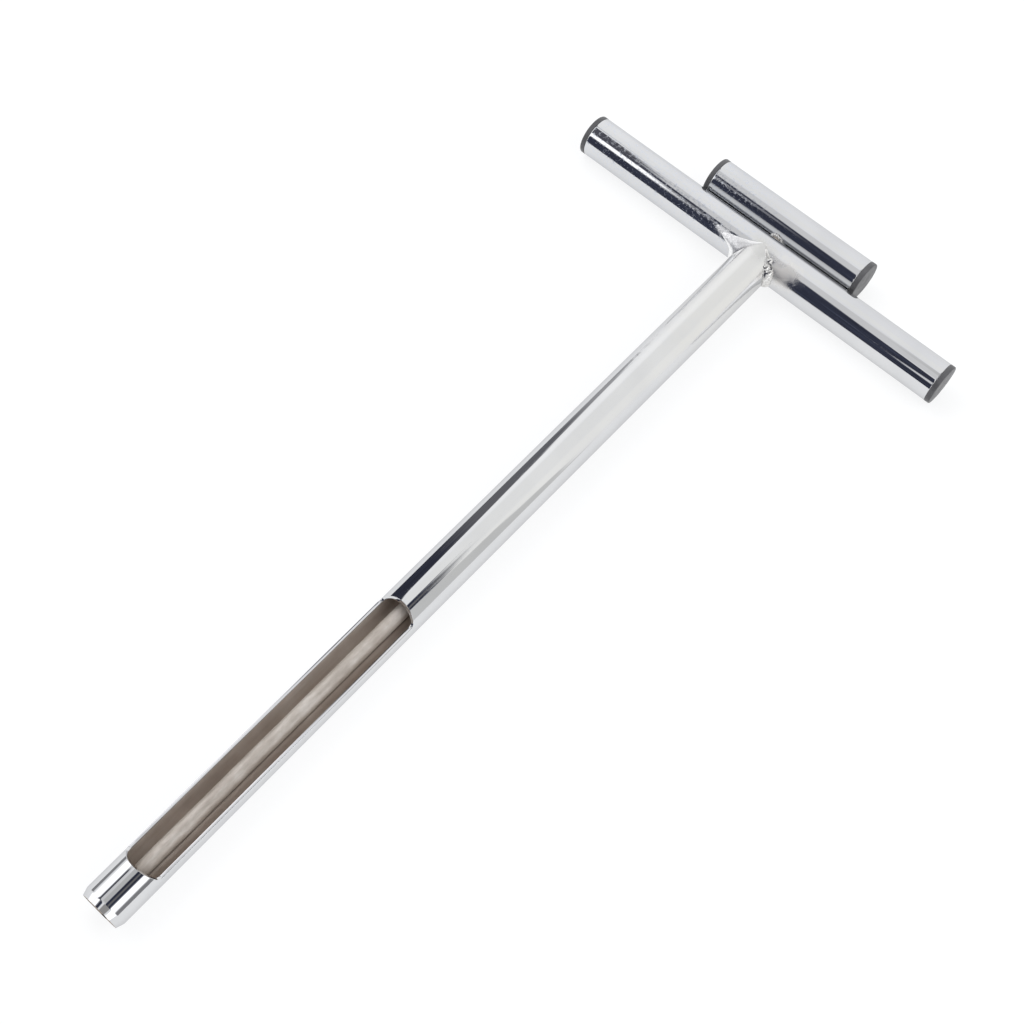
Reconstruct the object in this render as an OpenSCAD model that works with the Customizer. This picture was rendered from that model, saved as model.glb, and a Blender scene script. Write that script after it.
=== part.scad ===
// Core sampler: a plated steel sample tube with an open window, welded to a cross handle, and an
// ejector (rod, piston and short handle) that slides through both.
// Millimetres. The tool lies flat: +Y runs from the cutting tip to the handles, +X along the cross
// handle, +Z up out of the window. The origin is under the middle of the tool, on the surface.

/* [Tubes] */
// outside diameter of the sample tube and of both handle tubes
tube_d = 25; // [22:0.5:30]
// wall thickness of all three tubes
wall = 1.5; // [1.2:0.1:2]

/* [Sample tube] */
// distance from the cutting tip to the axis of the cross handle
shaft_l = 517.5; // [420:0.5:620]
// length of the ground bevel at the cutting tip
tip_bevel_l = 4; // [2:0.5:6]
// thickness left at the cutting edge
edge_t = 0.15; // [0.1:0.05:0.4]
// distance from the cutting tip to the window
window_start = 24.4; // [24:0.1:40]
// length of the window along the top of the tube
window_l = 185.4; // [120:0.1:260]
// height of the window's side edges above the tube axis, as a share of the outer radius
window_floor = 0.38; // [0.3:0.01:0.6]
// how far the window's ends slope inwards, per unit of depth
window_slope = 0.57; // [0.3:0.01:0.8]
// radius of the corners at the window's floor
window_corner_r = 3; // [1:0.5:4]

/* [Cross handle] */
// length of the cross handle tube, without its caps
handle_l = 254; // [180:1:320]
// leg of the weld bead in each corner between tube and cross handle
weld_leg = 4; // [2.5:0.5:5]

/* [Ejector] */
// diameter of the ejector rod
rod_d = 8; // [6:0.5:9]
// length of the short ejector handle tube, without its caps
ejector_l = 105.5; // [80:0.5:140]
// gap between the short handle and the cross handle when the ejector is pushed home
handle_gap = 1.3; // [1:0.1:4]
// distance from the cutting tip to the face of the piston nut when the ejector is home
tip_recess = 5; // [4.5:0.5:6]
// thickness of the piston
piston_t = 7; // [5:0.5:8]
// radial gap between the piston and the bore of the tube
piston_gap = 0.35; // [0.3:0.05:0.8]
// radial running clearance of the rod in the cross handle
rod_clear = 0.05; // [0.02:0.01:0.1]

/* [Caps] */
// thickness of the cap flange outside the tube
flange_t = 3.4; // [2.5:0.1:5]
// rounding of the flange's outer edge
flange_r = 0.8; // [0.4:0.1:1.2]
// depth of the cap's plug inside the tube
plug_l = 14; // [8:1:20]
// wall of the hollow plug
plug_wall = 2; // [1.5:0.1:3]

/* [Hidden] */
tube_r = tube_d / 2;
bore_r = tube_r - wall;
rod_r = rod_d / 2;
hole_r = rod_r + rod_clear;
eject_y = shaft_l + tube_d + handle_gap;
overall_l = eject_y + tube_r;
handle_half = handle_l / 2;
ejector_half = ejector_l / 2;
floor_z = tube_r * window_floor;
window_end = window_start + window_l;
window_run = (tube_r - floor_z) * window_slope;
open_run = wall * window_slope + 0.6;
tip_end = window_start + open_run;
shaft_start = window_end - open_run;
stub_r = rod_r * 0.75;
nut_af = rod_d * 1.25;
nut_t = rod_d * 0.625;
washer_t = 1.2;
washer_r = rod_d * 0.875;
nut_y = tip_recess;
washer_y = nut_y + nut_t;
piston_y = washer_y + washer_t;
rod_y = piston_y + piston_t;
piston_r = bore_r - piston_gap;
rod_top_y = eject_y - tube_r + wall + 3;
weld_r = rod_r + 3;
weld_low_y = shaft_l + tube_r + 0.35;
ear_cut = 0.8;
join = 0.02;
steps = 96;

$fn = steps;

// every piece is drawn with the cutting tip at y = 0 and the tube axis at z = 0, then set down here
module placed() {
  translate([0, -overall_l / 2, tube_r]) children();
}

// a solid of revolution along +Y, from y = y0, given as [radius, y] points
module along_y(points) {
  rotate([-90, 0, 0])
    rotate_extrude()
      polygon(points);
}

module rod_along_y(r, y0, y1) {
  translate([0, y0, 0])
    rotate([-90, 0, 0])
      cylinder(r = r, h = y1 - y0);
}

module rod_along_x(r, x0, x1, y) {
  translate([x0, y, 0])
    rotate([0, 90, 0])
      cylinder(r = r, h = x1 - x0);
}

// side outline of the window: sloped ends that turn into the floor with rounded corners
function corner_arc(y, turn, n) =
  let (a = atan(1 / window_slope))
  let (r = window_corner_r)
  let (back = r * tan(a / 2))
  [for (i = [0 : n])
    let (t = a * i / n)
    [y + turn * (back - r * sin(t)), floor_z + r - r * cos(t)]];

function window_outline() =
  let (high = tube_r + 2)
  let (run = (high - floor_z) * window_slope)
  concat(
    [[window_start + window_run - run, high]],
    [for (i = [6 : -1 : 0]) corner_arc(window_start + window_run, 1, 6)[i]],
    corner_arc(window_end - window_run, -1, 6),
    [[window_end - window_run + run, high]]
  );

module window_cut() {
  rotate([90, 0, 90])
    translate([0, 0, -tube_d])
      linear_extrude(height = 2 * tube_d)
        polygon(window_outline());
}

// one tube on the real tool: it is made as three lengths that meet face to face, so that the closed
// rings and the open trough are each a simple shape
module tube_length(y0, y1) {
  difference() {
    along_y([
      [bore_r, y0],
      [tube_r, y0],
      [tube_r, y1],
      [bore_r, y1]
    ]);
    window_cut();
  }
}

module tube_tip() {
  color([0.78, 0.79, 0.81])
    placed()
      difference() {
        along_y([
          [bore_r, 0],
          [bore_r + edge_t, 0],
          [tube_r, tip_bevel_l],
          [tube_r, tip_end],
          [bore_r, tip_end]
        ]);
        window_cut();
      }
}

module tube_window() {
  color([0.78, 0.79, 0.81]) placed() tube_length(tip_end, shaft_start);
}

module tube_shaft() {
  color([0.78, 0.79, 0.81])
    placed()
      difference() {
        tube_length(shaft_start, shaft_l - ear_cut);
        rod_along_x(tube_r, -tube_d, tube_d, shaft_l);
      }
}

module cross_handle() {
  color([0.80, 0.81, 0.83])
    placed()
      difference() {
        rod_along_x(tube_r, -handle_half, handle_half, shaft_l);
        rod_along_x(bore_r, -handle_half - 1, handle_half + 1, shaft_l);
        rod_along_y(hole_r, shaft_l - tube_d, shaft_l + tube_d);
      }
}

// bead in one corner between the sample tube and the cross handle: an oval bar laid along the
// corner's diagonal, less both tubes, so it runs out flush above and below
module corner_bead(side) {
  reach = tube_r * sqrt(2) + weld_leg / sqrt(2);
  intersection() {
    difference() {
      translate([0, shaft_l, 0])
        rotate([0, 0, side > 0 ? -45 : 45])
          rotate([90, 0, 0])
            translate([0, 0, -tube_d * 1.5])
              scale([reach / tube_r, 1, 1])
                cylinder(r = tube_r - join, h = tube_d * 3);
      rod_along_x(tube_r, -tube_d * 2, tube_d * 2, shaft_l);
      rod_along_y(tube_r, shaft_l - tube_d * 2, shaft_l + 1);
    }
    translate([side > 0 ? 0.6 : -tube_d * 2 - 0.6, shaft_l - tube_d * 1.5, -tube_d])
      cube([tube_d * 2, tube_d * 1.5 - 0.9, tube_d * 2]);
  }
}

module weld_left() {
  color([0.66, 0.66, 0.67]) placed() corner_bead(-1);
}

module weld_right() {
  color([0.66, 0.66, 0.67]) placed() corner_bead(1);
}

// moulded cap: rounded flange against the tube's end, hollow plug with two grip ribs inside it
module cap_shape() {
  rib = bore_r - 0.03;
  core = bore_r - 0.45;
  hollow = core - plug_wall;
  k = flange_r * (1 - sqrt(0.5));
  rotate([0, 90, 0])
    rotate_extrude()
      polygon([
        [0, 0],
        [0, flange_t],
        [tube_r - flange_r, flange_t],
        [tube_r - k, flange_t - k],
        [tube_r, flange_t - flange_r],
        [tube_r, 0],
        [rib, 0],
        [rib, -2],
        [core, -2.6],
        [core, -plug_l * 0.45],
        [rib, -plug_l * 0.45 - 0.6],
        [rib, -plug_l * 0.45 - 2],
        [core, -plug_l * 0.45 - 2.6],
        [core, -plug_l + 1.2],
        [core - 1, -plug_l],
        [hollow, -plug_l],
        [hollow, -1.6],
        [0, -1.6]
      ]);
}

module cap_at(x, y) {
  translate([x, y, 0])
    rotate([0, 0, x < 0 ? 180 : 0])
      cap_shape();
}

module grip_cap_left() {
  color([0.22, 0.22, 0.23]) placed() cap_at(-handle_half, shaft_l);
}

module grip_cap_right() {
  color([0.22, 0.22, 0.23]) placed() cap_at(handle_half, shaft_l);
}

module ejector_rod() {
  color([0.70, 0.66, 0.60])
    placed()
      along_y([
        [0, nut_y + 0.4],
        [stub_r - 0.4, nut_y + 0.4],
        [stub_r, nut_y + 0.8],
        [stub_r, rod_y],
        [rod_r, rod_y],
        [rod_r, rod_top_y],
        [0, rod_top_y]
      ]);
}

module piston() {
  color([0.55, 0.53, 0.50])
    placed()
      along_y([
        [stub_r, piston_y],
        [piston_r - 0.6, piston_y],
        [piston_r, piston_y + 0.6],
        [piston_r, rod_y - 0.6],
        [piston_r - 0.6, rod_y],
        [stub_r, rod_y]
      ]);
}

module piston_washer() {
  color([0.62, 0.62, 0.62])
    placed()
      along_y([
        [stub_r, washer_y],
        [washer_r, washer_y],
        [washer_r, piston_y],
        [stub_r, piston_y]
      ]);
}

module piston_nut() {
  color([0.60, 0.60, 0.60])
    placed()
      difference() {
        translate([0, nut_y, 0])
          rotate([-90, 0, 0])
            linear_extrude(height = nut_t)
              circle(r = nut_af / sqrt(3), $fn = 6);
        rod_along_y(stub_r, nut_y - 1, nut_y + nut_t + 1);
      }
}

module ejector_handle() {
  color([0.80, 0.81, 0.83])
    placed()
      difference() {
        rod_along_x(tube_r, -ejector_half, ejector_half, eject_y);
        rod_along_x(bore_r, -ejector_half - 1, ejector_half + 1, eject_y);
        rod_along_y(hole_r, eject_y - tube_d, eject_y);
      }
}

module rod_weld() {
  color([0.60, 0.59, 0.58])
    placed()
      difference() {
        rod_along_y(weld_r, weld_low_y, eject_y);
        rod_along_y(hole_r, weld_low_y - 1, eject_y + 1);
        rod_along_x(tube_r, -tube_d, tube_d, eject_y);
      }
}

module ejector_cap_left() {
  color([0.22, 0.22, 0.23]) placed() cap_at(-ejector_half, eject_y);
}

module ejector_cap_right() {
  color([0.22, 0.22, 0.23]) placed() cap_at(ejector_half, eject_y);
}

tube_tip();
tube_window();
tube_shaft();
cross_handle();
weld_left();
weld_right();
grip_cap_left();
grip_cap_right();
ejector_rod();
piston();
piston_washer();
piston_nut();
ejector_handle();
rod_weld();
ejector_cap_left();
ejector_cap_right();
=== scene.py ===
# %% [markdown]
# # A core sampler with a push-rod ejector
# The tool lies flat. A long plated tube with an open window is welded to a cross handle, and a
# second, shorter handle pushes a rod down the tube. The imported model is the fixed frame: every
# piece below takes its place and its size from it. Chrome shows every facet, so the tubes are
# rebuilt here as fine smooth meshes and the plain CAD solids are hidden behind them.

# %% Load the frame
import math
import random

import bmesh
import bpy
from mathutils import Matrix, Vector


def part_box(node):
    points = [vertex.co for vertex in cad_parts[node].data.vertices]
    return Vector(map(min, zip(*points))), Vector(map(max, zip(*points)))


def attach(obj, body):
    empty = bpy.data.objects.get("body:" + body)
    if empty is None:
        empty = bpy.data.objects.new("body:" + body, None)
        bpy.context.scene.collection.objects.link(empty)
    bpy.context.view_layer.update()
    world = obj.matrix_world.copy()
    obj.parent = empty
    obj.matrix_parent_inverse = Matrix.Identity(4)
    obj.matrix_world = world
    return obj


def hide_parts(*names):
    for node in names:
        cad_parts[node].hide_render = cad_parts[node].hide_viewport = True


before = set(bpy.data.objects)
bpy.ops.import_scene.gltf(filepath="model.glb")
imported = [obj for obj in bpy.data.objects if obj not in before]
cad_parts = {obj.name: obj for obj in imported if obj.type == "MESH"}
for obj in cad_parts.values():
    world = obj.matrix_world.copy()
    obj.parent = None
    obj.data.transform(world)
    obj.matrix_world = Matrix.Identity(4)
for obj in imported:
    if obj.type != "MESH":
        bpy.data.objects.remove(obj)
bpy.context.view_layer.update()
MM = 0.001

# %% [markdown]
# ## Sizes
# A node's box gives its place. The tube radius, the axis height and the handle lines all come from
# those boxes. What a box can't tell, such as the wall and the window's outline, is stated here.

# %% Sizes from the frame
tube_low, tube_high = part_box("tube_tip")
cross_low, cross_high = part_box("cross_handle")
eject_low, eject_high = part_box("ejector_handle")
rod_low, rod_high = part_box("ejector_rod")
piston_low, piston_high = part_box("piston")
washer_low, washer_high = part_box("piston_washer")
nut_low, nut_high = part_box("piston_nut")
cap_low, cap_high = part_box("grip_cap_right")

TUBE_R = (tube_high.x - tube_low.x) / 2
BORE_R = TUBE_R - 1.5 * MM
AXIS_Z = (cross_low.z + cross_high.z) / 2
TIP_Y = tube_low.y
CROSS_Y = (cross_low.y + cross_high.y) / 2
EJECT_Y = (eject_low.y + eject_high.y) / 2
ROD_R = (rod_high.x - rod_low.x) / 2
FLANGE = cap_high.x - cross_high.x
BEVEL = 4.0 * MM
EDGE = 0.15 * MM
WINDOW_START = 24.4 * MM
WINDOW_END = WINDOW_START + 185.4 * MM
WINDOW_FLOOR = 0.38 * TUBE_R
WINDOW_SLOPE = 0.57
WINDOW_CORNER = 3.0 * MM
print("tube radius mm:", round(TUBE_R / MM, 2), "cap flange mm:", round(FLANGE / MM, 2))

# %% [markdown]
# ## Node helpers
# A material is a small tree of nodes. These helpers keep each tree short: they add a node and set
# its values, start a material, stretch a position, colour a value, do sums, and mark out soft
# steps and bands.

# %% Node helpers
def add_node(tree, kind, **settings):
    """A new node with its properties set, and its inputs set by name or number."""
    inputs = settings.pop("inputs", {})
    new = tree.nodes.new(kind)
    for key, value in settings.items():
        setattr(new, key, value)
    for key, value in inputs.items():
        new.inputs[key].default_value = value
    return new


def new_material(name, **shader_inputs):
    """A material with a Principled shader, its tree, the shader and a shared position vector."""
    mat = bpy.data.materials.new(name)
    mat.use_nodes = True
    tree = mat.node_tree
    shader = tree.nodes["Principled BSDF"]
    for key, value in shader_inputs.items():
        shader.inputs[key.replace("_", " ")].default_value = value
    place = add_node(tree, "ShaderNodeTexCoord").outputs["Object"]
    return mat, tree, shader, place


def stretched(tree, place, scale):
    """The position vector stretched along some axes, for streaks and scratches."""
    mapping = add_node(tree, "ShaderNodeMapping", inputs={"Scale": scale})
    tree.links.new(place, mapping.inputs["Vector"])
    return mapping.outputs["Vector"]


def ramp(tree, source, stops):
    """A colour ramp between grey or coloured stops: (position, colour)."""
    new = add_node(tree, "ShaderNodeValToRGB")
    elements = new.color_ramp.elements
    while len(elements) < len(stops):
        elements.new(0.5)
    for element, (position, colour) in zip(elements, stops):
        element.position = position
        element.color = colour if len(colour) == 4 else (*colour, 1.0)
    tree.links.new(source, new.inputs["Fac"])
    return new.outputs["Color"]


def combine(tree, a, b, operation="MULTIPLY", c=0.0):
    """One maths node; a, b and c are sockets or numbers. c is only used by MULTIPLY_ADD."""
    node = add_node(tree, "ShaderNodeMath", operation=operation)
    for index, value in enumerate((a, b, c)):
        if isinstance(value, (int, float)):
            node.inputs[index].default_value = value
        else:
            tree.links.new(value, node.inputs[index])
    return node.outputs[0]


def noise(tree, place, scale, detail, roughness=0.5):
    """Cloudy grey noise at a position."""
    made = add_node(tree, "ShaderNodeTexNoise",
                    inputs={"Scale": scale, "Detail": detail, "Roughness": roughness})
    tree.links.new(place, made.inputs["Vector"])
    return made.outputs["Fac"]


def soft_step(tree, value, low, high, start=0.0, end=1.0):
    """A smooth step from start, where the value is low, to end, where it is high."""
    step = add_node(tree, "ShaderNodeMapRange", interpolation_type="SMOOTHSTEP",
                    inputs={"From Min": low, "From Max": high, "To Min": start, "To Max": end})
    tree.links.new(value, step.inputs["Value"])
    return step.outputs["Result"]


def soft_band(tree, value, low, high, soft):
    """1 between low and high, fading out over soft on both sides."""
    return combine(tree, soft_step(tree, value, low - soft, low + soft),
                   soft_step(tree, value, high - soft, high + soft, 1.0, 0.0))


def mix_colour(tree, amount, under, over):
    """The colour under, turned towards the fixed colour over by an amount from 0 to 1."""
    mixed = add_node(tree, "ShaderNodeMix", data_type="RGBA")
    mixed.inputs[7].default_value = over
    tree.links.new(amount, mixed.inputs[0])
    tree.links.new(under, mixed.inputs[6])
    return mixed.outputs[2]


def axis_of(tree, place, axis):
    """One coordinate of a position: X, Y or Z."""
    axes = add_node(tree, "ShaderNodeSeparateXYZ")
    tree.links.new(place, axes.inputs[0])
    return axes.outputs[axis]


# %% [markdown]
# ## Shared effects
# Two effects appear in more than one finish, so each is a node group. "Surface wear" gives fine
# scratches and cloudy patches: its outputs feed roughness and a bump height. "Mould grain" gives
# the fine pebbled skin of moulded plastic.

# %% Group: surface wear
def group_socket(group, name, kind, value=None, out=False):
    """One named socket of a group."""
    made = group.interface.new_socket(
        name=name, in_out="OUTPUT" if out else "INPUT", socket_type=kind)
    if value is not None:
        made.default_value = value
    return made


def build_surface_wear():
    """Roughness from cloudy haze and fine scratches, and the scratches' height."""
    group = bpy.data.node_groups.new("surface_wear", "ShaderNodeTree")
    group_socket(group, "Place", "NodeSocketVector")
    group_socket(group, "Scratch Place", "NodeSocketVector")
    group_socket(group, "Base Roughness", "NodeSocketFloat", value=0.06)
    group_socket(group, "Haze", "NodeSocketFloat", value=0.05)
    group_socket(group, "Scratches", "NodeSocketFloat", value=0.1)
    group_socket(group, "Roughness", "NodeSocketFloat", out=True)
    group_socket(group, "Height", "NodeSocketFloat", out=True)
    link = group.links.new
    gin = group.nodes.new("NodeGroupInput")
    gout = group.nodes.new("NodeGroupOutput")
    given = gin.outputs
    haze = soft_step(group, noise(group, given["Place"], 60.0, 6.0, 0.6), 0.48, 0.72)
    lines = soft_step(group, noise(group, given["Scratch Place"], 900.0, 3.0, 0.7), 0.62, 0.70)
    both = combine(group, combine(group, haze, given["Haze"]),
                   combine(group, lines, given["Scratches"]), "ADD")
    link(combine(group, both, given["Base Roughness"], "ADD"), gout.inputs["Roughness"])
    link(lines, gout.inputs["Height"])
    return group


surface_wear = build_surface_wear()
print("group:", surface_wear.name)


# %% Group: mould grain
def build_mould_grain():
    """The pebbled height of moulded plastic, and a roughness that varies like smudges."""
    group = bpy.data.node_groups.new("mould_grain", "ShaderNodeTree")
    group_socket(group, "Place", "NodeSocketVector")
    group_socket(group, "Grain Scale", "NodeSocketFloat", value=2500.0)
    group_socket(group, "Height", "NodeSocketFloat", out=True)
    group_socket(group, "Roughness", "NodeSocketFloat", out=True)
    link = group.links.new
    gin = group.nodes.new("NodeGroupInput")
    gout = group.nodes.new("NodeGroupOutput")
    cells = add_node(group, "ShaderNodeTexVoronoi", inputs={"Randomness": 1.0})
    link(gin.outputs["Place"], cells.inputs["Vector"])
    link(gin.outputs["Grain Scale"], cells.inputs["Scale"])
    link(cells.outputs["Distance"], gout.inputs["Height"])
    spread = add_node(group, "ShaderNodeMapRange",
                      inputs={"From Min": 0.3, "From Max": 0.7, "To Min": 0.36, "To Max": 0.52})
    link(noise(group, gin.outputs["Place"], 220.0, 4.0), spread.inputs["Value"])
    link(spread.outputs["Result"], gout.inputs["Roughness"])
    return group


mould_grain = build_mould_grain()
print("group:", mould_grain.name)

# %% [markdown]
# ## Chrome plate
# Chrome is a clean metal: nearly all of its look is what it mirrors. Real plated tube is never a
# perfect mirror, though. The tube under it is slightly wavy, so straight reflections wander a
# little, and polishing leaves fine marks along the tube. The waviness is a low, wide bump; the
# marks are a stretched noise. Each tube direction gets its own stretch.

# %% Chrome materials
def wear_nodes(tree, place, streak_scale, roughness, haze, scratches):
    """The surface wear group placed in a material."""
    wear = add_node(tree, "ShaderNodeGroup", node_tree=surface_wear)
    wear.inputs["Base Roughness"].default_value = roughness
    wear.inputs["Haze"].default_value = haze
    wear.inputs["Scratches"].default_value = scratches
    tree.links.new(place, wear.inputs["Place"])
    tree.links.new(stretched(tree, place, streak_scale), wear.inputs["Scratch Place"])
    return wear


def bump_chain(tree, shader, layers):
    """Bump nodes one after the other: (height socket, strength, distance)."""
    normal = None
    for height, strength, distance in layers:
        bump = add_node(tree, "ShaderNodeBump",
                        inputs={"Strength": strength, "Distance": distance})
        tree.links.new(height, bump.inputs["Height"])
        if normal is not None:
            tree.links.new(normal, bump.inputs["Normal"])
        normal = bump.outputs["Normal"]
    tree.links.new(normal, shader.inputs["Normal"])


def soft_zone(tree, place, centre, radius, squash):
    """1 near a centre, fading raggedly to 0: for dull or dressed areas beside a weld."""
    link = tree.links.new
    moved = add_node(tree, "ShaderNodeVectorMath", operation="SUBTRACT")
    moved.inputs[1].default_value = centre
    link(place, moved.inputs[0])
    shaped = add_node(tree, "ShaderNodeVectorMath", operation="MULTIPLY")
    shaped.inputs[1].default_value = squash
    link(moved.outputs["Vector"], shaped.inputs[0])
    apart = add_node(tree, "ShaderNodeVectorMath", operation="LENGTH")
    link(shaped.outputs["Vector"], apart.inputs[0])
    ragged = noise(tree, place, 190.0, 5.0)
    shifted = combine(tree, ragged, radius * 1.2, "MULTIPLY_ADD", apart.outputs["Value"])
    return soft_step(tree, shifted, radius * 1.9, radius * 0.8)


def build_chrome(name, streak_scale, wave_scale, speck_from, speck_to, dull_at=()):
    """Chrome plate. Milky specks fade in along X; dull_at lists soft zones beside welds."""
    mat, tree, shader, place = new_material(name, Metallic=1.0,
                                            Specular_Tint=(0.78, 0.78, 0.79, 1.0))
    wear = wear_nodes(tree, place, streak_scale, 0.03, 0.03, 0.08)
    wave = noise(tree, stretched(tree, place, wave_scale), 55.0, 2.0)
    colour = ramp(tree, noise(tree, place, 35.0, 3.0),
                  [(0.35, (0.665, 0.670, 0.680)), (0.65, (0.695, 0.70, 0.708))])
    # milky specks in the plate
    fine = noise(tree, stretched(tree, place, (0.7, 0.7, 1.0)), 850.0, 4.0, 0.65)
    along = soft_step(tree, axis_of(tree, place, "X"), speck_from, speck_to, 1.0, 0.12)
    milky = combine(tree, soft_step(tree, fine, 0.48, 0.70), along)
    rough = combine(tree, milky, 0.27, "MULTIPLY_ADD", wear.outputs["Roughness"])
    colour = mix_colour(tree, combine(tree, milky, 0.35), colour, (0.56, 0.64, 0.80, 1.0))
    layers = [(wave, 0.35, 0.30 * MM), (wear.outputs["Height"], 0.04, 0.03 * MM)]
    for centre, radius, squash, dull, shade, grain, depth in dull_at:
        zone = soft_zone(tree, place, centre, radius, squash)
        rough = combine(tree, zone, dull, "MULTIPLY_ADD", rough)
        colour = mix_colour(tree, zone, colour, shade)
        marks = noise(tree, stretched(tree, place, grain), 500.0, 3.0)
        layers.append((combine(tree, marks, zone), 0.35, depth))
    tree.links.new(colour, shader.inputs["Base Color"])
    tree.links.new(rough, shader.inputs["Roughness"])
    bump_chain(tree, shader, layers)
    return mat


# dull or dressed areas beside the welds: centre, radius, squash along the three axes, added
# roughness, colour, stretch of the marks and their depth
RIGHT_DULL = Vector((19 * MM, CROSS_Y - 8 * MM, AXIS_Z + 8 * MM))
LEFT_DRESSED = Vector((-24 * MM, CROSS_Y - 8.8 * MM, AXIS_Z + 8.8 * MM))
JOINT_TOP = Vector((0, CROSS_Y - 5 * MM, AXIS_Z + 12 * MM))
SHAFT_HAZE = Vector((0, CROSS_Y - 34 * MM, AXIS_Z + 8 * MM))
chrome_tube = build_chrome(
    "chrome_tube", (1.0, 0.03, 1.0), (1.0, 0.12, 1.0), -1.0, -0.9,
    [(SHAFT_HAZE, 34 * MM, (1.0, 0.5, 1.0), 0.12, (0.70, 0.70, 0.695, 1.0), (1.0, 0.25, 1.0),
      0.15 * MM),
     (JOINT_TOP, 8 * MM, (1.0, 0.8, 1.0), 0.22, (0.66, 0.66, 0.65, 1.0), (1.0, 1.0, 1.0),
      0.15 * MM)])
chrome_cross = build_chrome(
    "chrome_cross_handle", (0.03, 1.0, 1.0), (0.12, 1.0, 1.0), -0.03, 0.06,
    [(RIGHT_DULL, 9 * MM, (0.75, 1.0, 1.0), 0.42, (0.82, 0.80, 0.77, 1.0), (0.4, 1.0, 1.0),
      0.2 * MM),
     (JOINT_TOP, 8 * MM, (0.8, 0.8, 1.0), 0.22, (0.66, 0.66, 0.65, 1.0), (1.0, 1.0, 1.0),
      0.15 * MM),
     (LEFT_DRESSED, 3.2 * MM, (0.45, 1.0, 1.0), 0.45, (1.0, 1.0, 1.0, 1.0), (0.5, 1.0, 1.0),
      0.5 * MM)])
chrome_short = build_chrome(
    "chrome_short_handle", (0.03, 1.0, 1.0), (0.12, 1.0, 1.0), -0.04, 0.02)
print("chrome materials:", chrome_tube.name, chrome_cross.name, chrome_short.name)

# %% [markdown]
# ## Bore, rod, welds and caps
# Plating hardly reaches inside a long tube, so the bore is dull brownish steel. The rod is drawn
# steel that slides in soil and stays satin, with streaks along its length. The welds were plated
# over, lumps and all. The caps are moulded charcoal plastic.

# %% Bare steel materials
def build_bare_steel(name, dark, mid, light, streak_scale, roughness, metallic, waves,
                     painted_gap_shade=None):
    """Unplated steel: streaks along the part over wide blotches, and a painted shade line if any.
    """
    mat, tree, shader, place = new_material(name, Metallic=metallic)
    wear = wear_nodes(tree, place, streak_scale, roughness, 0.12, 0.1)
    streak = noise(tree, stretched(tree, place, streak_scale), waves, 5.0, 0.62)
    blotch = noise(tree, place, 48.0, 4.0, 0.55)
    mixed = combine(tree, streak, 0.5, "MULTIPLY_ADD", combine(tree, blotch, 0.5))
    colour = ramp(tree, mixed, [(0.36, dark), (0.5, mid), (0.64, light)])
    if painted_gap_shade:
        # painted shade: a dark line along the bottom of the bore, under the rod, stands in for the
        # shadow in the gap between rod and wall
        aside = soft_band(tree, axis_of(tree, place, "X"), -1.5 * MM, 1.5 * MM, 0.6 * MM)
        below = soft_band(tree, axis_of(tree, place, "Z"), 0.0, 3.2 * MM, 0.8 * MM)
        colour = mix_colour(tree, combine(tree, aside, below), colour, painted_gap_shade)
    tree.links.new(colour, shader.inputs["Base Color"])
    tree.links.new(wear.outputs["Roughness"], shader.inputs["Roughness"])
    bump_chain(tree, shader, [(streak, 0.25, 0.08 * MM), (wear.outputs["Height"], 0.1, 0.04 * MM)])
    return mat


# the bore's last colour is painted shade: the dark line under the rod
bore_steel = build_bare_steel("bore_steel", (0.48, 0.41, 0.355), (0.60, 0.525, 0.465),
                              (0.71, 0.645, 0.585), (1.0, 0.10, 1.0), 0.32, 0.25, 150.0,
                              (0.14, 0.115, 0.10, 1.0))
rod_steel = build_bare_steel("rod_steel", (0.39, 0.345, 0.305), (0.48, 0.435, 0.39),
                             (0.60, 0.56, 0.52), (1.0, 0.25, 1.0), 0.45, 0.30, 420.0)
head_steel = build_bare_steel("head_steel", (0.36, 0.34, 0.32), (0.48, 0.46, 0.43),
                              (0.58, 0.56, 0.53), (1.0, 1.0, 1.0), 0.3, 0.9, 300.0)
print("bare steel:", bore_steel.name, rod_steel.name, head_steel.name)


# %% Weld and cap materials
def build_weld_chrome(name, roughness, dark, light):
    """Plated weld metal: lumpy, and hazier than the tube."""
    mat, tree, shader, place = new_material(name, Metallic=1.0)
    wear = wear_nodes(tree, place, (1.0, 1.0, 1.0), roughness, 0.22, 0.1)
    lumps = noise(tree, place, 700.0, 5.0, 0.6)
    tree.links.new(ramp(tree, lumps, [(0.3, dark), (0.62, light)]), shader.inputs["Base Color"])
    tree.links.new(wear.outputs["Roughness"], shader.inputs["Roughness"])
    bump_chain(tree, shader, [(lumps, 0.5, 0.2 * MM)])
    return mat


def build_cap_plastic():
    """Charcoal plastic with a moulded grain."""
    mat, tree, shader, place = new_material("cap_plastic", Metallic=0.0)
    grain = add_node(tree, "ShaderNodeGroup", node_tree=mould_grain,
                     inputs={"Grain Scale": 2600.0})
    tree.links.new(place, grain.inputs["Place"])
    colour = ramp(tree, noise(tree, place, 140.0, 4.0),
                  [(0.35, (0.068, 0.068, 0.072)), (0.68, (0.096, 0.096, 0.101))])
    tree.links.new(colour, shader.inputs["Base Color"])
    tree.links.new(grain.outputs["Roughness"], shader.inputs["Roughness"])
    bump_chain(tree, shader, [(grain.outputs["Height"], 0.18, 0.12 * MM)])
    return mat


weld_chrome = build_weld_chrome("weld_chrome", 0.14, (0.50, 0.49, 0.475), (0.76, 0.755, 0.74))
weld_dressed = build_weld_chrome("weld_dressed", 0.34, (0.84, 0.84, 0.84), (1.0, 1.0, 1.0))
cap_plastic = build_cap_plastic()
print("weld and cap:", weld_chrome.name, weld_dressed.name, cap_plastic.name)

# %% [markdown]
# ## Mesh helpers
# Most pieces are turned: a closed outline of (radius, distance) points is spun round the tube's or
# the handle's axis. Corners are rounded in the outline, because a real edge always catches a thin
# line of light.

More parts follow.
